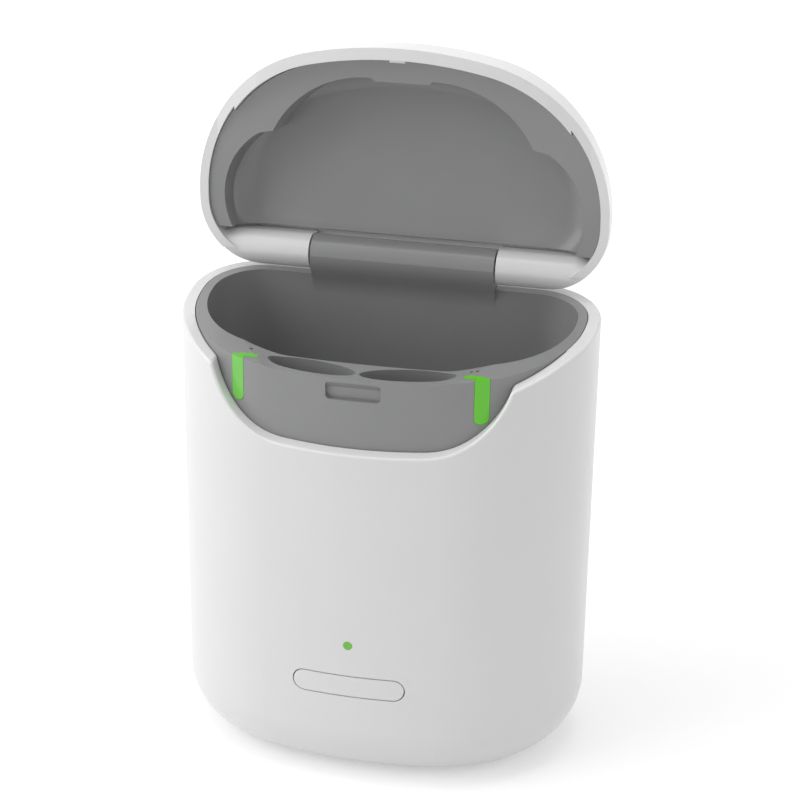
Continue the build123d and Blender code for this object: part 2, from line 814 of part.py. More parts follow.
for side, name in ((-1, "left_contact_plungers"), (1, "right_contact_plungers")):
    with BuildPart() as contact_plungers:
        with BuildSketch(Plane.XY.offset(plunger_bottom)):
            with Locations(*bay_contacts(side)):
                Circle(plunger_radius)
        extrude(amount=plunger_top - plunger_bottom)
        fillet(contact_plungers.faces().filter_by(Axis.Z).group_by(Axis.Z)[-1].edges(), plunger_radius / 2)
    finish(contact_plungers, name)

# Button: a long flush key in the front wall, its switch and the board behind
behind_key = front_depth - shell_wall - face_gap
with BuildPart() as key_face:
    with BuildSketch(Plane.XZ.offset(front_depth / 2)):
        with Locations((0, button_z)):
            SlotOverall(2 * (button_half_length - button_gap), button_width - 2 * button_gap)
    extrude(amount=front_depth)
    add(case_outside, mode=Mode.INTERSECT)
    add(behind_wall, mode=Mode.SUBTRACT)
with BuildPart() as button_cap:
    with BuildSketch(Plane.XZ.offset(front_depth / 2)):
        with Locations((0, button_z)):
            SlotOverall(2 * (button_half_length + flange_lap), button_width + 2 * flange_lap)
    extrude(amount=front_depth)
    add(behind_wall, mode=Mode.INTERSECT)
    add(behind_flange, mode=Mode.SUBTRACT)
    with BuildSketch(Plane.XZ.offset(-button_board_face + switch_body + plunger_cap_reach)):
        with Locations((0, button_z)):
            Circle(plunger_cap_radius)
    extrude(amount=behind_key - flange_wall / 2 + button_board_face - switch_body - plunger_cap_reach)
    add(key_face.part)
finish(button_cap, "button_cap")

plunger_depth = switch_body / 2
with BuildPart() as switch_plunger:
    with BuildSketch(Plane.XZ.offset(-button_board_face + switch_body - plunger_depth)):
        with Locations((0, button_z)):
            Circle(plunger_cap_radius)
    extrude(amount=plunger_depth + plunger_cap_reach)
finish(switch_plunger, "switch_plunger")

with BuildPart() as tact_switch:
    with BuildSketch(Plane.XZ.offset(-button_board_face)):
        with Locations((0, button_z)):
            RectangleRounded(switch_size, switch_size, screw_socket)
    extrude(amount=switch_body)
    with BuildSketch(Plane.XZ.offset(-button_board_face + switch_body - plunger_depth - button_travel - button_gap)):
        with Locations((0, button_z)):
            Circle(plunger_cap_radius + plunger_running_gap)
    extrude(amount=switch_body, mode=Mode.SUBTRACT)
finish(tact_switch, "tact_switch")

button_screw_z = button_board_top - button_screw_drop
button_screw_places = [(-fin_x, button_screw_z), (fin_x, button_screw_z)]
with BuildPart() as button_board:
    with BuildSketch(Plane.XZ.offset(-button_board_face)):
        with Locations((0, (button_board_bottom + button_board_top) / 2)):
            Rectangle(2 * button_board_half_width, button_board_top - button_board_bottom)
        with Locations(*button_screw_places):
            Circle(screw_radius + face_gap, mode=Mode.SUBTRACT)
    extrude(amount=-board_thickness)
finish(button_board, "button_board")

with BuildPart() as button_board_screws:
    for x, z in button_screw_places:
        add(screw(Plane((x, button_board_face, z), x_dir=(1, 0, 0), z_dir=(0, 1, 0)), screw_head_radius,
                  board_thickness + screw_bite))
finish(button_board_screws, "button_board_screws")

with BuildPart() as status_led:
    with BuildSketch(Plane.XZ.offset(-button_board_face)):
        with Locations((0, status_z)):
            Rectangle(led_width, led_width)
    extrude(amount=led_height)
finish(status_led, "status_led")

with BuildPart() as status_lens:
    with BuildSketch(Plane.XZ.offset(-button_board_face + led_height + led_gap)):
        with Locations((0, status_z)):
            Circle(status_radius)
    extrude(amount=front_depth)
    with BuildSketch(Plane.XZ.offset(behind_key - flange_wall)):
        with Locations((0, status_z)):
            Circle(status_collar)
    extrude(amount=front_depth)
    add(case_outside, mode=Mode.INTERSECT)
    with BuildSketch(Plane.XZ.offset(behind_key - face_gap)):
        with Locations((0, status_z)):
            Circle(2 * status_collar)
            Circle(status_radius, mode=Mode.SUBTRACT)
    extrude(amount=front_depth, mode=Mode.SUBTRACT)
finish(status_lens, "status_lens")

# Inner frame: black moulding that carries the battery, the boards and the insert
battery_front = battery_back - battery_thickness
battery_floor = frame_shelf_bottom + frame_wall
battery_height = insert_base - battery_floor - battery_head_room
plate_front = battery_back + battery_tape
plate_back = plate_front + frame_wall
side_inner = battery_width / 2 + moving_gap
side_outer = side_inner + frame_wall
board_back = button_board_face + board_thickness
post_foot = floor_top + floor_boss
fin_top = button_board_top - fin_drop
post_places = [(-post_x, post_y), (post_x, post_y)]
standoff_places = [(-standoff_x, standoff_y), (standoff_x, standoff_y)]
with BuildPart() as inner_frame:
    add(block(-side_outer, side_outer, frame_shelf_front, plate_back, frame_shelf_bottom, battery_floor))
    add(block(-side_outer, side_outer, plate_front, plate_back, frame_shelf_bottom, insert_base))
    for side in (-1, 1):
        inner, outer = sorted((side * side_inner, side * side_outer))
        add(block(inner, outer, battery_front, plate_back, frame_shelf_bottom, insert_base))
        inner, outer = sorted((side * side_inner, side * (insert_screw_x + frame_ear)))
        add(block(inner, outer, insert_screw_y - frame_ear, plate_back, insert_base - frame_wall, insert_base))
        fin_middle = side * fin_x
        add(block(fin_middle - fin_thickness / 2, fin_middle + fin_thickness / 2, board_back,
                  battery_front - moving_gap, frame_shelf_bottom, fin_top))
    with BuildSketch(Plane.XY.offset(post_foot)):
        with Locations(*post_places):
            Circle(post_radius)
    extrude(amount=frame_shelf_bottom - post_foot)
    with BuildSketch(Plane.XY.offset(main_board_top)):
        with Locations(*standoff_places):
            Circle(standoff_radius)
    extrude(amount=frame_shelf_bottom - main_board_top)
    add(block(-shelf_notch_half, shelf_notch_half, frame_shelf_front, shelf_notch_back, 0, insert_base),
        mode=Mode.SUBTRACT)
    with BuildSketch(Plane.XY.offset(post_foot)):
        with Locations(*post_places):
            Circle(base_screw_radius + face_gap)
    extrude(amount=base_screw_plane_z + base_screw_length - post_foot + face_gap, mode=Mode.SUBTRACT)
    with BuildSketch(Plane.XY.offset(main_board_top)):
        with Locations(*standoff_places):
            Circle(screw_radius + face_gap)
    extrude(amount=board_screw_bite + face_gap, mode=Mode.SUBTRACT)
    with BuildSketch(Plane.XY.offset(insert_base - frame_wall)):
        with Locations(*insert_screw_places):
            Circle(screw_radius + face_gap)
    extrude(amount=frame_wall, mode=Mode.SUBTRACT)
    with BuildSketch(Plane.XZ.offset(-board_back)):
        with Locations(*button_screw_places):
            Circle(screw_radius + face_gap)
    extrude(amount=-screw_bite - face_gap, mode=Mode.SUBTRACT)
    add(behind_wall, mode=Mode.INTERSECT)
finish(inner_frame, "inner_frame")

with BuildPart() as frame_screws:
    for place in insert_screw_places:
        add(screw(Plane((*place, insert_base - frame_wall)), screw_head_radius, frame_wall + screw_bite))
finish(frame_screws, "frame_screws")

with BuildPart() as base_screws:
    for place in post_places:
        add(screw(Plane((*place, base_screw_plane_z)), base_screw_head_radius, base_screw_length, base_screw_radius))
finish(base_screws, "base_screws")

# Battery: flat pouch cell standing on the shelf, taped to the back plate
with BuildPart() as battery_cell:
    add(block(-battery_width / 2, battery_width / 2, battery_front, battery_back, battery_floor,
              battery_floor + battery_height))
    fillet(battery_cell.edges().filter_by(Axis.Z), battery_corner)
finish(battery_cell, "battery_cell")

with BuildPart() as battery_tape_pad:
    add(block(-battery_width / 3, battery_width / 3, battery_back, plate_front,
              battery_floor + frame_wall, battery_floor + battery_height - frame_wall))
finish(battery_tape_pad, "battery_tape")

# Main board: charging circuit under the shelf, with the inlet at its back edge
with BuildPart() as main_board:
    with BuildSketch(Plane.XY.offset(main_board_top)):
        with Locations((0, (main_board_front + main_board_back) / 2)):
            Rectangle(2 * main_board_half_width, main_board_back - main_board_front)
        with Locations(*standoff_places):
            Circle(screw_radius + face_gap, mode=Mode.SUBTRACT)
    extrude(amount=-board_thickness)
finish(main_board, "main_board")

with BuildPart() as main_board_screws:
    for place in standoff_places:
        add(screw(Plane((*place, main_board_top - board_thickness)), screw_head_radius,
                  board_thickness + board_screw_bite))
finish(main_board_screws, "main_board_screws")

with BuildPart() as main_board_chips:
    with BuildSketch(Plane.XY.offset(main_board_top)):
        with Locations((-chip_x, chip_y)):
            Rectangle(chip_size, chip_size)
        with Locations((chip_x, chip_y)):
            Rectangle(chip_size * 2 / 3, chip_size * 2 / 3)
        with Locations((0, chip_y)):
            Rectangle(chip_size / 2, chip_size / 2)
    extrude(amount=chip_height)
finish(main_board_chips, "main_board_chips")

usb_mouth = back_depth - usb_set_back
usb_front = usb_mouth - usb_depth
with BuildPart() as usb_socket:
    with BuildSketch(Plane.XZ.offset(-usb_front)):
        with Locations((0, usb_z)):
            SlotOverall(usb_width, usb_height)
    extrude(amount=-usb_depth)
    with BuildSketch(Plane.XZ.offset(-usb_front - 2 * usb_wall)):
        with Locations((0, usb_z)):
            SlotOverall(usb_width - 2 * usb_wall, usb_height - 2 * usb_wall)
    extrude(amount=-usb_depth, mode=Mode.SUBTRACT)
finish(usb_socket, "usb_socket")

with BuildPart() as usb_tongue:
    with BuildSketch(Plane.XZ.offset(-usb_front - 2 * usb_wall)):
        with Locations((0, usb_z)):
            Rectangle(usb_tongue_width, usb_tongue_thickness)
    extrude(amount=-usb_tongue_length)
finish(usb_tongue, "usb_tongue")

# Connectors and leads between the boards and the battery
with BuildPart() as board_header:
    add(block(-header_outer, -header_inner, board_back, shelf_notch_back - face_gap, main_board_top,
              frame_shelf_bottom - face_gap))
finish(board_header, "board_header")

with BuildPart() as battery_connector:
    add(block(header_inner, header_outer, main_board_front, shelf_notch_back - face_gap, main_board_top,
              frame_shelf_bottom - face_gap))
finish(battery_connector, "battery_connector")

connector_middle = (main_board_front + shelf_notch_back) / 2
lead_top = battery_floor + lead_rise
with BuildPart() as battery_leads:
    for x in (header_inner + lead_radius * 3, header_outer - lead_radius * 3):
        with BuildLine(Plane.YZ.offset(x)) as route:
            FilletPolyline(
                (battery_front, lead_top),
                (connector_middle, lead_top),
                (connector_middle, frame_shelf_bottom - face_gap),
                radius=lead_bend,
            )
        with BuildSketch(Plane((x, battery_front, lead_top), z_dir=(0, -1, 0))):
            Circle(lead_radius)
        sweep(path=route.wire())
finish(battery_leads, "battery_leads")

# Flat cable from the contact board to the main board, with a connector at each end
flex_start = button_board_face - flex_set_ahead
with BuildPart() as flex_connectors:
    add(block(-flex_plug_half, flex_plug_half, flex_start - flex_plug_depth / 2, flex_start + flex_plug_depth / 2,
              contact_board_top - board_thickness - flex_plug_height, contact_board_top - board_thickness))
    add(block(-flex_plug_half, flex_plug_half, main_board_front, shelf_notch_back - face_gap,
              main_board_top, main_board_top + flex_plug_height))
finish(flex_connectors, "flex_connectors")

with BuildPart() as flex_cable:
    with BuildSketch(Plane.YZ.offset(-flex_half_width)):
        with BuildLine():
            FilletPolyline(
                (flex_start, contact_board_top - board_thickness - flex_plug_height),
                (flex_start, insert_base - flex_bend),
                (connector_middle, button_board_top + flex_bend),
                (connector_middle, main_board_top + flex_plug_height),
                radius=flex_bend,
            )
        trace(line_width=flex_thickness)
    extrude(amount=2 * flex_half_width)
finish(flex_cable, "flex_cable")

# Foot: soft pad in the base recess, over the screw heads
with BuildPart() as base_pad:
    with BuildSketch(Plane.XY):
        add(outline(0, base_radius + pad_inset + board_edge_gap).face())
    extrude(amount=pad_recess + pad_stand)
    fillet(base_pad.faces().sort_by(Axis.Z)[0].edges(), pad_stand)
finish(base_pad, "base_pad")
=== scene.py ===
from math import cos, pi, radians, sin

import bpy
from mathutils import Matrix, Vector


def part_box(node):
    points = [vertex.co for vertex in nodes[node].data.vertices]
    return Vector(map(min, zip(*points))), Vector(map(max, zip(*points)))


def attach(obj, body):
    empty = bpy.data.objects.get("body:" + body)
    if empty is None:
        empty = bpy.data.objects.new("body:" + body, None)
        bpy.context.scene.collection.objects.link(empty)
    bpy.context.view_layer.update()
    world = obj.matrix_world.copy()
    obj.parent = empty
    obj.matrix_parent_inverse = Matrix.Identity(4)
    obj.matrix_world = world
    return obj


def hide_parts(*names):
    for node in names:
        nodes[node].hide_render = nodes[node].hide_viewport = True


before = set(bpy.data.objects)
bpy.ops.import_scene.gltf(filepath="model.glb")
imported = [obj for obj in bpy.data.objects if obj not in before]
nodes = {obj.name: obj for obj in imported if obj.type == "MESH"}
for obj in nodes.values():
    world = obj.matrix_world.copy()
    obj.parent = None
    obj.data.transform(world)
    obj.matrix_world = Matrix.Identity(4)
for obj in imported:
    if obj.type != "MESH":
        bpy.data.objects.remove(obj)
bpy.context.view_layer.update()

# Outer shell: a single cup of injection-moulded white ABS with a polished skin, blended to a fine satin.
# It comes from the tool with the finger scoop, key slot and inlet mouth in it,
# and the rim is rounded over.


def shader_group(name, inputs, outputs):
    """An empty shader node group with float inputs and named outputs, and its two end nodes."""
    group = bpy.data.node_groups.new(name, "ShaderNodeTree")
    for label, value in inputs:
        socket = group.interface.new_socket(label, in_out="INPUT", socket_type="NodeSocketFloat")
        socket.default_value = value
    for label in outputs:
        group.interface.new_socket(label, in_out="OUTPUT", socket_type="NodeSocketFloat")
    return group, group.nodes.new("NodeGroupInput"), group.nodes.new("NodeGroupOutput")


def join(tree, *pairs):
    """Link each pair of sockets in a node tree."""
    for start, end in pairs:
        tree.links.new(start, end)


def maths(tree, operation, first, second=0.0):
    """A maths node whose inputs are sockets or plain numbers; gives its output."""
    node = tree.nodes.new("ShaderNodeMath")
    node.operation = operation
    for place, value in enumerate((first, second)):
        if isinstance(value, bpy.types.NodeSocket):
            tree.links.new(value, node.inputs[place])
        else:
            node.inputs[place].default_value = value
    return node.outputs[0]


def speckle(tree, size, detail, spot):
    """A noise texture on Object coordinates whose lumps have a size, given as a socket or in metres."""
    noise = tree.nodes.new("ShaderNodeTexNoise")
    noise.inputs["Detail"].default_value = detail
    join(tree, (spot, noise.inputs["Vector"]))
    if isinstance(size, bpy.types.NodeSocket):
        join(tree, (maths(tree, "DIVIDE", 1.0, size), noise.inputs["Scale"]))
    else:
        noise.inputs["Scale"].default_value = 1.0 / size
    return noise.outputs["Fac"]


def object_spot(tree):
    """The point on the surface in the object's own metres."""
    return tree.nodes.new("ShaderNodeTexCoord").outputs["Object"]


moulded_skin, skin_in, skin_out = shader_group(
    "moulded_skin",
    (("Grain size", 0.0004), ("Cloud size", 0.012), ("Flow size", 0.04)),
    ("Grain", "Cloud", "Flow"),
)
skin_spot = object_spot(moulded_skin)
skin_detail = {"Grain": 2.0, "Cloud": 3.0, "Flow": 1.0}
for label, detail in skin_detail.items():
    field = speckle(moulded_skin, skin_in.outputs[label + " size"], detail, skin_spot)
    join(moulded_skin, (field, skin_out.inputs[label]))


def bare_material(name):
    """A material with its Principled shader and nothing else set."""
    material = bpy.data.materials.new(name)
    material.use_nodes = True
    return material, material.node_tree, material.node_tree.nodes["Principled BSDF"]


def spread(tree, value, low, high, noise_low=0.25, noise_high=0.75):
    """Map a noise value, which mostly stays between two levels, to a range; gives the socket."""
    remap = tree.nodes.new("ShaderNodeMapRange")
    remap.inputs["From Min"].default_value = noise_low
    remap.inputs["From Max"].default_value = noise_high
    remap.inputs["To Min"].default_value = low
    remap.inputs["To Max"].default_value = high
    join(tree, (value, remap.inputs["Value"]))
    return remap.outputs["Result"]


def between(tree, mask, first, second):
    """A colour between two colours or sockets by a mask; gives the socket."""
    mix = tree.nodes.new("ShaderNodeMix")
    mix.data_type = "RGBA"
    join(tree, (mask, mix.inputs["Factor"]))
    for label, value in (("A", first), ("B", second)):
        socket = [s for s in mix.inputs if s.name == label and s.type == "RGBA"][0]
        if isinstance(value, bpy.types.NodeSocket):
            join(tree, (value, socket))
        else:
            socket.default_value = (*value, 1.0)
    return [s for s in mix.outputs if s.type == "RGBA"][0]


def relief(tree, shader, height, distance):
    """Raise a height field on the surface by a distance in metres."""
    bump = tree.nodes.new("ShaderNodeBump")
    bump.inputs["Strength"].default_value = 1.0
    bump.inputs["Distance"].default_value = distance
    join(tree, (height, bump.inputs["Height"]), (bump.outputs["Normal"], shader.inputs["Normal"]))


def moulding(name, dark, light, rough, grain_size, grain_height, coat=0.0, coat_rough=0.14):
    """A moulded plastic: two close tones in soft clouds, a range of roughness and a fine grain."""
    material, tree, shader = bare_material(name)
    skin = tree.nodes.new("ShaderNodeGroup")
    skin.node_tree = moulded_skin
    skin.inputs["Grain size"].default_value = grain_size
    join(
        tree,
        (between(tree, skin.outputs["Cloud"], dark, light), shader.inputs["Base Color"]),
        (spread(tree, skin.outputs["Flow"], *rough), shader.inputs["Roughness"]),
    )
    relief(tree, shader, skin.outputs["Grain"], grain_height)
    shader.inputs["Coat Weight"].default_value = coat
    shader.inputs["Coat Roughness"].default_value = coat_rough
    return material


def finish_node(name, material):
    """Give a carried-over CAD node its material."""
    nodes[name].data.materials.clear()
    nodes[name].data.materials.append(material)


white_plastic = moulding(
    "white_satin_abs", dark=(0.845, 0.845, 0.845), light=(0.875, 0.875, 0.873), rough=(0.3, 0.36),
    grain_size=0.0005, grain_height=0.000003, coat=0.35,
)
finish_node("outer_shell", white_plastic)

# Base pad: a die-cut sheet of soft grey silicone, stuck into the recess under the case.
# It hides the two case screws and carries the charger on its whole face.
pad_rubber = moulding(
    "pad_silicone", dark=(0.1, 0.1, 0.105), light=(0.125, 0.125, 0.13), rough=(0.75, 0.85),
    grain_size=0.0003, grain_height=0.00004,
)
finish_node("base_pad", pad_rubber)

# Screws: zinc-plated steel pan heads with a square drive, cold-headed and rolled.
# Two hold the case to the frame; pairs of smaller ones hold the insert and the three boards.


def metal(name, dark, light, rough, lines, height, line_size=0.0012, line_detail=4.0):
    """A plated or drawn metal with fine lines round its own height."""
    material, tree, shader = bare_material(name)
    spot = object_spot(tree)
    stretch = tree.nodes.new("ShaderNodeMapping")
    stretch.inputs["Scale"].default_value = (1.0, 1.0, lines)
    join(tree, (spot, stretch.inputs["Vector"]))
    streak = speckle(tree, line_size, line_detail, stretch.outputs["Vector"])
    join(
        tree,
        (between(tree, streak, dark, light), shader.inputs["Base Color"]),
        (spread(tree, streak, *rough), shader.inputs["Roughness"]),
    )
    relief(tree, shader, streak, height)
    shader.inputs["Metallic"].default_value = 1.0
    return material


plated_steel = metal(
    "zinc_plated_steel", dark=(0.5, 0.51, 0.53), light=(0.66, 0.67, 0.69), rough=(0.24, 0.38),
    lines=6.0, height=0.000004,
)
for held in ("base", "frame", "button_board", "main_board", "contact_board"):
    finish_node(held + "_screws", plated_steel)

# Inner frame: one black glass-filled nylon moulding with a shelf, a back plate and screw posts.
# The battery, the boards and the insert are all fastened to it before the case goes on.
frame_nylon = moulding(
    "frame_nylon", dark=(0.018, 0.018, 0.019), light=(0.03, 0.03, 0.031), rough=(0.5, 0.62),
    grain_size=0.0004, grain_height=0.00002,
)
for name in ("inner_frame", "switch_plunger", "board_header"):
    finish_node(name, frame_nylon)

# Battery: a flat lithium pouch in soft aluminium laminate, taped to the frame's back plate.
# Two silicone-insulated leads run from it to a small white plug on the main board.
crease_size, crease_detail, crease_height = 0.006, 5.0, 0.0002
foil_dark, foil_light = (0.5, 0.51, 0.53), (0.66, 0.67, 0.69)
foil_rough, foil_metallic = (0.32, 0.48), 0.9
cell_foil, tree, shader = bare_material("pouch_foil")
spot = object_spot(tree)
crease = speckle(tree, crease_size, crease_detail, spot)
join(
    tree,
    (between(tree, crease, foil_dark, foil_light), shader.inputs["Base Color"]),
    (spread(tree, crease, *foil_rough), shader.inputs["Roughness"]),
)
relief(tree, shader, crease, crease_height)
shader.inputs["Metallic"].default_value = foil_metallic
finish_node("battery_cell", cell_foil)
tape_film = moulding(
    "tape_film", dark=(0.02, 0.02, 0.02), light=(0.04, 0.04, 0.04), rough=(0.55, 0.7),
    grain_size=0.0008, grain_height=0.00003,
)
finish_node("battery_tape", tape_film)
lead_jacket = moulding(
    "lead_jacket", dark=(0.42, 0.02, 0.02), light=(0.5, 0.03, 0.03), rough=(0.4, 0.5),
    grain_size=0.0006, grain_height=0.00001,
)
finish_node("battery_leads", lead_jacket)

# Boards: fibreglass with green solder mask over copper, gold at the pads, all machine-assembled.
# The main board lies under the shelf, the key board stands behind the front, the contact board
# is under the bays.
track_cells, track_rings, track_height = 700.0, 26.0, 0.00003
mask_green, track_green, mask_rough = (0.006, 0.07, 0.026), (0.02, 0.17, 0.07), (0.26, 0.34)
solder_mask, tree, shader = bare_material("solder_mask")
spot = object_spot(tree)
cells = tree.nodes.new("ShaderNodeTexVoronoi")
cells.distance = "MANHATTAN"
cells.inputs["Scale"].default_value = track_cells
join(tree, (spot, cells.inputs["Vector"]))
ring = maths(tree, "SINE", maths(tree, "MULTIPLY", cells.outputs["Distance"], track_rings))
track = spread(tree, ring, 0.0, 1.0)
join(
    tree,
    (between(tree, track, mask_green, track_green), shader.inputs["Base Color"]),
    (spread(tree, track, *mask_rough), shader.inputs["Roughness"]),
)
relief(tree, shader, track, track_height)
for name in ("main_board", "button_board", "contact_board"):
    finish_node(name, solder_mask)
chip_epoxy = moulding(
    "chip_epoxy", dark=(0.02, 0.02, 0.021), light=(0.032, 0.032, 0.034), rough=(0.45, 0.6),
    grain_size=0.0003, grain_height=0.00001,
)
finish_node("main_board_chips", chip_epoxy)
plug_nylon = moulding(
    "plug_nylon", dark=(0.6, 0.58, 0.52), light=(0.68, 0.66, 0.6), rough=(0.4, 0.5),
    grain_size=0.0005, grain_height=0.00001,
)
for name in ("battery_connector", "flex_connectors"):
    finish_node(name, plug_nylon)

# Flat cable: amber polyimide film with copper lines laminated inside, plugged in at both ends.
# It leaves the contact board, passes over the key board and drops to the main board.
line_pitch, line_height = 0.0006, 0.00003
film_amber, copper_amber, film_rough = (0.42, 0.17, 0.02), (0.62, 0.3, 0.07), (0.3, 0.22)
flex_film, tree, shader = bare_material("flex_film")
spot = object_spot(tree)
across = tree.nodes.new("ShaderNodeSeparateXYZ")
join(tree, (spot, across.inputs["Vector"]))
wave = maths(tree, "SINE", maths(tree, "MULTIPLY", across.outputs["X"], 2 * pi / line_pitch))
wave_half = 0.5
raised_wave = maths(tree, "ADD", maths(tree, "MULTIPLY", wave, wave_half), wave_half)
conductor = spread(tree, raised_wave, 0.0, 1.0)
join(
    tree,
    (between(tree, conductor, film_amber, copper_amber), shader.inputs["Base Color"]),
    (spread(tree, conductor, *film_rough), shader.inputs["Roughness"]),
)
relief(tree, shader, conductor, line_height)
finish_node("flex_cable", flex_film)

# Key, switch and lights: the key is moulded in the case's white ABS and clips in from behind.
# It presses a steel-topped tact switch on the key board, beside a small lamp behind a green lens.
finish_node("button_cap", white_plastic)
finish_node("tact_switch", plated_steel)
lamp_case = moulding(
    "lamp_case", dark=(0.75, 0.74, 0.62), light=(0.85, 0.84, 0.72), rough=(0.2, 0.3),
    grain_size=0.0005, grain_height=0.000003, coat=0.4,
)
for name in ("status_led", "charge_leds"):
    finish_node(name, lamp_case)


def lit_plastic(
    name, core, rim, glow, strength, rough=(0.16, 0.24), cloud_size=0.004, cloud_detail=2.0, coat=0.3
):
    """A clear green plastic lit from inside, with soft clouds of light in it."""
    material, tree, shader = bare_material(name)
    spot = object_spot(tree)
    cloud = speckle(tree, cloud_size, cloud_detail, spot)
    tone = between(tree, cloud, core, rim)
    join(
        tree,
        (tone, shader.inputs["Base Color"]),
        (between(tree, cloud, glow, core), shader.inputs["Emission Color"]),
        (spread(tree, cloud, *rough), shader.inputs["Roughness"]),
    )
    shader.inputs["Emission Strength"].default_value = strength
    shader.inputs["Coat Weight"].default_value = coat
    return material


status_green = lit_plastic(
    "status_green", core=(0.12, 0.44, 0.03), rim=(0.15, 0.5, 0.045),
    glow=(0.14, 0.5, 0.035), strength=0.2,
)
finish_node("status_lens", status_green)

# Charging inlet: a deep-drawn steel shell with a black tongue, soldered to the main board's back edge.
# The case has a plain rounded mouth round it.
finish_node("usb_socket", plated_steel)
finish_node("usb_tongue", frame_nylon)
contact_gold = metal(
    "contact_gold", dark=(0.72, 0.5, 0.2), light=(0.86, 0.64, 0.3), rough=(0.16, 0.28),
    lines=3.0, height=0.000003,
)


def growing_tree(name, sizes):
    """An empty geometry tree that takes points, with named sizes, and its two end nodes."""
    growth = bpy.data.node_groups.new(name, "GeometryNodeTree")
    growth.interface.new_socket("Geometry", in_out="INPUT", socket_type="NodeSocketGeometry")
    for label in sizes:
        growth.interface.new_socket(label, in_out="INPUT", socket_type="NodeSocketFloat")
    growth.interface.new_socket("Geometry", in_out="OUTPUT", socket_type="NodeSocketGeometry")
    return growth, growth.nodes.new("NodeGroupInput"), growth.nodes.new("NodeGroupOutput")


def set_on_points(growth, shape, start, end, material):
    """Close a tree: the shape is set on each point, made real and given its material."""
    points = growth.nodes.new("GeometryNodeMeshToPoints")
    setter = growth.nodes.new("GeometryNodeInstanceOnPoints")
    real = growth.nodes.new("GeometryNodeRealizeInstances")
    paint = growth.nodes.new("GeometryNodeSetMaterial")
    paint.inputs["Material"].default_value = material
    join(
        growth,
        (start.outputs["Geometry"], points.inputs["Mesh"]),
        (points.outputs["Points"], setter.inputs["Points"]),
        (shape, setter.inputs["Instance"]),
        (setter.outputs["Instances"], real.inputs["Geometry"]),
        (real.outputs["Geometry"], paint.inputs["Geometry"]),
        (paint.outputs["Geometry"], end.inputs["Geometry"]),
    )


def grown(name, growth, places, sizes, material):
    """Run a tree on a set of places and keep the result as a plain mesh; gives the new object."""
    seeds = bpy.data.meshes.new(name + "_places")
    seeds.from_pydata(places, [], [])
    piece = bpy.data.objects.new(name, seeds)
    bpy.context.scene.collection.objects.link(piece)
    modifier = piece.modifiers.new("growth", "NODES")
    modifier.node_group = growth
    for socket in growth.interface.items_tree:
        if socket.in_out == "INPUT" and socket.name in sizes:
            modifier[socket.identifier] = sizes[socket.name]
    ready = piece.evaluated_get(bpy.context.evaluated_depsgraph_get())
    mesh = bpy.data.meshes.new_from_object(ready)
    piece.modifiers.clear()
    piece.data = mesh
    mesh.name = name
    mesh.materials.clear()
    mesh.materials.append(material)
    return piece


strip_count, strip_pitch = 12, 0.0005
strip_sizes = {"Width": 0.00026, "Length": 0.0038, "Thickness": 0.00004}
tongue_low, tongue_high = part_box("usb_tongue")
strip_tree, strip_in, strip_out = growing_tree("tongue_strips", tuple(strip_sizes))
strip_size = strip_tree.nodes.new("ShaderNodeCombineXYZ")
strip_bar = strip_tree.nodes.new("GeometryNodeMeshCube")
join(
    strip_tree,
    (strip_in.outputs["Width"], strip_size.inputs["X"]),
    (strip_in.outputs["Length"], strip_size.inputs["Y"]),
    (strip_in.outputs["Thickness"], strip_size.inputs["Z"]),
    (strip_size.outputs["Vector"], strip_bar.inputs["Size"]),
)
set_on_points(strip_tree, strip_bar.outputs["Mesh"], strip_in, strip_out, contact_gold)
tongue_strips = grown(
    "tongue_strips",
    strip_tree,
    [
        ((step - (strip_count - 1) / 2) * strip_pitch, (tongue_low[1] + tongue_high[1]) / 2, height)
        for step in range(strip_count)
        for height in (tongue_low[2], tongue_high[2])
    ],
    strip_sizes,
    contact_gold,
)
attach(tongue_strips, "base")

# Charging insert: one moulding in mid-grey ABS with a fine spark-eroded skin.
# It drops into the case as rim, well, ledge, bays and hinge knuckle in one piece.
grey_plastic = moulding(
    "grey_spark_abs", dark=(0.268, 0.272, 0.27), light=(0.298, 0.302, 0.3), rough=(0.34, 0.42),
    grain_size=0.00035, grain_height=0.000012, coat=0.3,
)
finish_node("charging_insert", grey_plastic)

# Side marks: three dots of dark ink in the insert's dimples, one by the left bay and two by the right.
# They tell the bays apart by touch and sight, and are filled in by hand after moulding.
mark_ink = moulding(
    "mark_ink", dark=(0.028, 0.028, 0.03), light=(0.045, 0.045, 0.048), rough=(0.5, 0.62),
    grain_size=0.0003, grain_height=0.000005,
)
mark_tree, mark_in, mark_out = growing_tree("side_marks", ("Radius", "Depth"))
mark_drop = mark_tree.nodes.new("GeometryNodeMeshCylinder")
mark_facets = 24
mark_drop.inputs["Vertices"].default_value = mark_facets
join(
    mark_tree,
    (mark_in.outputs["Radius"], mark_drop.inputs["Radius"]),
    (mark_in.outputs["Depth"], mark_drop.inputs["Depth"]),
)
set_on_points(mark_tree, mark_drop.outputs["Mesh"], mark_in, mark_out, mark_ink)
mark_out_x, mark_in_x, mark_y = 0.0186, 0.0176, -0.0178
mark_floor, mark_depth, mark_radius = 0.072553, 0.00026, 0.0003
side_marks = grown(
    "side_marks",
    mark_tree,
    [(x, mark_y, mark_floor + mark_depth / 2) for x in (-mark_out_x, mark_out_x, mark_in_x)],
    {"Radius": mark_radius, "Depth": mark_depth},
    mark_ink,
)
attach(side_marks, "base")

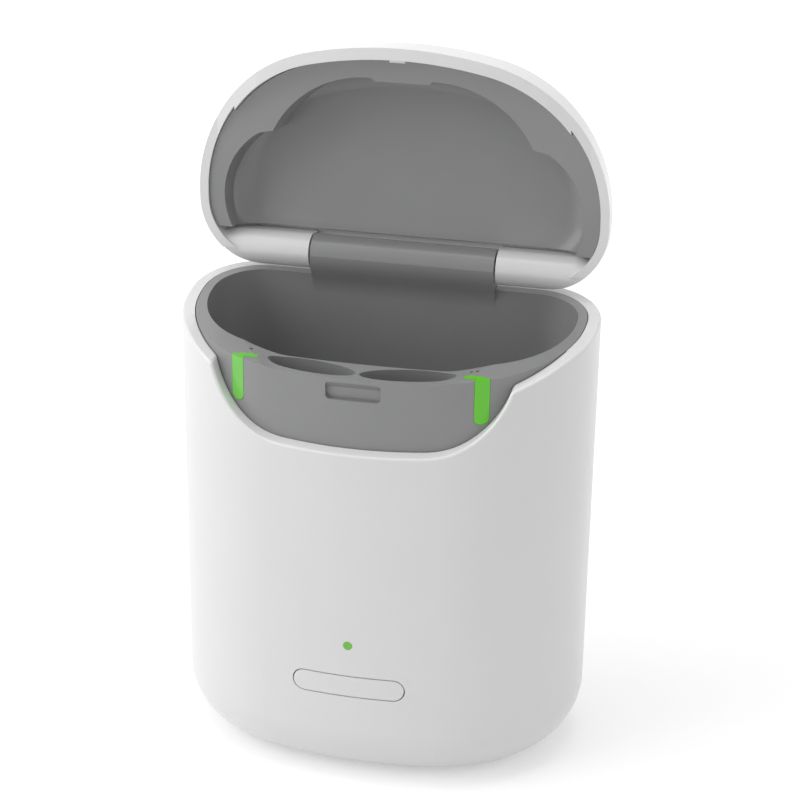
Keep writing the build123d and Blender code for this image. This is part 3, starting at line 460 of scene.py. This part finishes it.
# Light pipes: two L-shaped mouldings in clear green polycarbonate, pushed up into the insert from below.
# They carry the light of the two lamps on the contact board to the front and the ledge.
left_green = lit_plastic(
    "left_pipe_green", core=(0.13, 0.48, 0.05), rim=(0.16, 0.54, 0.075),
    glow=(0.15, 0.55, 0.07), strength=0.2,
)
finish_node("left_light_pipe", left_green)
right_green = lit_plastic(
    "right_pipe_green", core=(0.085, 0.44, 0.006), rim=(0.11, 0.5, 0.014),
    glow=(0.1, 0.52, 0.01), strength=0.28,
)
finish_node("right_light_pipe", right_green)

# Contacts: gold-plated brass spring pins, two in each bay, soldered to the contact board.
# The barrel is fixed; the domed plunger goes down when a hearing aid is set in.
finish_node("contact_barrels", contact_gold)
pin_tree, pin_in, pin_out = growing_tree("spring_pins", ("Radius", "Shank"))
pin_shank = pin_tree.nodes.new("GeometryNodeMeshCylinder")
pin_dome = pin_tree.nodes.new("GeometryNodeMeshUVSphere")
pin_whole = pin_tree.nodes.new("GeometryNodeJoinGeometry")
pin_lift = pin_tree.nodes.new("GeometryNodeTransform")
pin_rise = pin_tree.nodes.new("ShaderNodeCombineXYZ")
pin_smooth = pin_tree.nodes.new("GeometryNodeSetShadeSmooth")
pin_facets = 32
pin_shank.inputs["Vertices"].default_value = pin_facets
pin_dome.inputs["Segments"].default_value = pin_facets
pin_dome.inputs["Rings"].default_value = pin_facets // 2
join(
    pin_tree,
    (pin_in.outputs["Radius"], pin_shank.inputs["Radius"]),
    (pin_in.outputs["Shank"], pin_shank.inputs["Depth"]),
    (pin_in.outputs["Radius"], pin_dome.inputs["Radius"]),
    (maths(pin_tree, "MULTIPLY", pin_in.outputs["Shank"], 0.5), pin_rise.inputs["Z"]),
    (pin_rise.outputs["Vector"], pin_lift.inputs["Translation"]),
    (pin_dome.outputs["Mesh"], pin_lift.inputs["Geometry"]),
    (pin_lift.outputs["Geometry"], pin_smooth.inputs["Geometry"]),
    (pin_smooth.outputs["Geometry"], pin_whole.inputs["Geometry"]),
    (pin_shank.outputs["Mesh"], pin_whole.inputs["Geometry"]),
)
set_on_points(pin_tree, pin_whole.outputs["Geometry"], pin_in, pin_out, contact_gold)
pin_radius = 0.00045
for side in ("left", "right"):
    node = side + "_contact_plungers"
    low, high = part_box(node)
    shank = high[2] - low[2] - pin_radius
    near_y, far_y = low[1] + pin_radius, high[1] - pin_radius
    if side == "left":
        near_y, far_y = far_y, near_y
    first = (low[0] + pin_radius, near_y)
    last = (high[0] - pin_radius, far_y)
    pins = grown(
        side + "_spring_pins",
        pin_tree,
        [(x, y, low[2] + shank / 2) for x, y in (first, last)],
        {"Radius": pin_radius, "Shank": shank},
        contact_gold,
    )
    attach(pins, side + "_contacts")
    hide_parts(node)

# Hinge: two ground steel stubs pressed into the insert's knuckle, on which the lid's barrels turn.
# They lie on the lid's axis and stand out at both ends of the knuckle.
finish_node("hinge_pins", plated_steel)

# Lid: a white dome moulded in the case's ABS, with its barrels, its short lip and the latch nib.
# A grey pan with a lobed mouth clips inside it, with a thin gap left all round.
finish_node("lid_shell", white_plastic)
finish_node("lid_liner", grey_plastic)

# Studio: a pale floor that reads white to the camera and keeps the object's soft shadow.
# Three soft lamps light it: a key from the left, one above and a weak one at the right.
floor_half = 3.0
floor_grey, floor_rough, floor_lift = 0.82, 0.9, 0.38
shadow_end, floor_end = 0.16, 0.5
floor_mesh = bpy.data.meshes.new("floor")
floor_mesh.from_pydata(
    [(x * floor_half, y * floor_half, 0.0) for x, y in ((-1, -1), (1, -1), (1, 1), (-1, 1))],
    [],
    [(0, 1, 2, 3)],
)
floor = bpy.data.objects.new("floor", floor_mesh)
bpy.context.scene.collection.objects.link(floor)
floor_paint, tree, shader = bare_material("floor_paint")
shader.inputs["Base Color"].default_value = (floor_grey, floor_grey, floor_grey, 1.0)
shader.inputs["Roughness"].default_value = floor_rough
shader.inputs["Specular IOR Level"].default_value = 0.0
spot = object_spot(tree)
reach = tree.nodes.new("ShaderNodeVectorMath")
reach.operation = "LENGTH"
join(tree, (spot, reach.inputs[0]))
far = tree.nodes.new("ShaderNodeMapRange")
far.interpolation_type = "SMOOTHSTEP"
far.inputs["From Min"].default_value = shadow_end
far.inputs["From Max"].default_value = floor_end
join(tree, (reach.outputs["Value"], far.inputs["Value"]))


def seen_rays(tree):
    """1 for rays that show the studio to the camera, straight or in a gloss or a clear part."""
    ray = tree.nodes.new("ShaderNodeLightPath")
    bent = maths(tree, "MAXIMUM", ray.outputs["Is Glossy Ray"], ray.outputs["Is Transmission Ray"])
    return maths(tree, "MAXIMUM", ray.outputs["Is Camera Ray"], bent)


glow = tree.nodes.new("ShaderNodeEmission")
glow.inputs["Color"].default_value = (1.0, 1.0, 1.0, 1.0)
rise_out = maths(tree, "MULTIPLY", far.outputs["Result"], 1.0 - floor_lift)
lift = maths(tree, "ADD", floor_lift, rise_out)
join(tree, (maths(tree, "MULTIPLY", lift, seen_rays(tree)), glow.inputs["Strength"]))
both = tree.nodes.new("ShaderNodeAddShader")
join(
    tree,
    (shader.outputs["BSDF"], both.inputs[0]),
    (glow.outputs["Emission"], both.inputs[1]),
    (both.outputs["Shader"], tree.nodes["Material Output"].inputs["Surface"]),
)
floor_mesh.materials.append(floor_paint)

room_level = 0.42
world = bpy.data.worlds.new("studio")
world.use_nodes = True
tree = world.node_tree
back = tree.nodes["Background"]
back.inputs["Color"].default_value = (1.0, 1.0, 1.0, 1.0)
room_lift = maths(tree, "MULTIPLY", seen_rays(tree), 1.0 - room_level)
join(tree, (maths(tree, "ADD", room_level, room_lift), back.inputs["Strength"]))
bpy.context.scene.world = world


lamp_target = Vector((0.0, 0.0, 0.05))


def softbox(name, place, width, height, power):
    """A rectangular studio lamp at a place, facing the case, in metres and watts."""
    lamp = bpy.data.lights.new(name, "AREA")
    lamp.shape = "RECTANGLE"
    lamp.size = width
    lamp.size_y = height
    lamp.energy = power
    box = bpy.data.objects.new(name, lamp)
    box.location = place
    box.rotation_euler = (lamp_target - Vector(place)).to_track_quat("-Z", "Y").to_euler()
    bpy.context.scene.collection.objects.link(box)


softbox("key_light", place=(-0.55, -0.3, 0.42), width=0.6, height=0.7, power=2.5)
softbox("top_light", place=(-0.05, 0.05, 0.8), width=0.7, height=0.5, power=2.0)
softbox("right_light", place=(0.6, -0.1, 0.25), width=0.25, height=0.6, power=0.45)

# Camera: at the photograph's angle, found by fitting the case's rim, barrels and sides.
# It stands a little to the right and above, with a slight roll.
turn, rise, roll = radians(13.42), radians(22.06), radians(0.84)
camera_place = Vector((0.076877, -0.314355, 0.190423))
focal_length, sensor_width = 92.8, 36.0
back_way = Vector((sin(turn) * cos(rise), -cos(turn) * cos(rise), sin(rise)))
right_way = Vector((cos(turn), sin(turn), 0.0))
up_way = back_way.cross(right_way)
camera_right = right_way * cos(roll) + up_way * sin(roll)
camera_up = up_way * cos(roll) - right_way * sin(roll)
lens = bpy.data.cameras.new("camera")
lens.sensor_width = sensor_width
lens.lens = focal_length
camera = bpy.data.objects.new("camera", lens)
bpy.context.scene.collection.objects.link(camera)
camera.matrix_world = Matrix.Translation(camera_place) @ Matrix(
    (camera_right, camera_up, back_way)
).transposed().to_4x4()
bpy.context.scene.camera = camera
bpy.context.scene.view_settings.view_transform = "Standard"
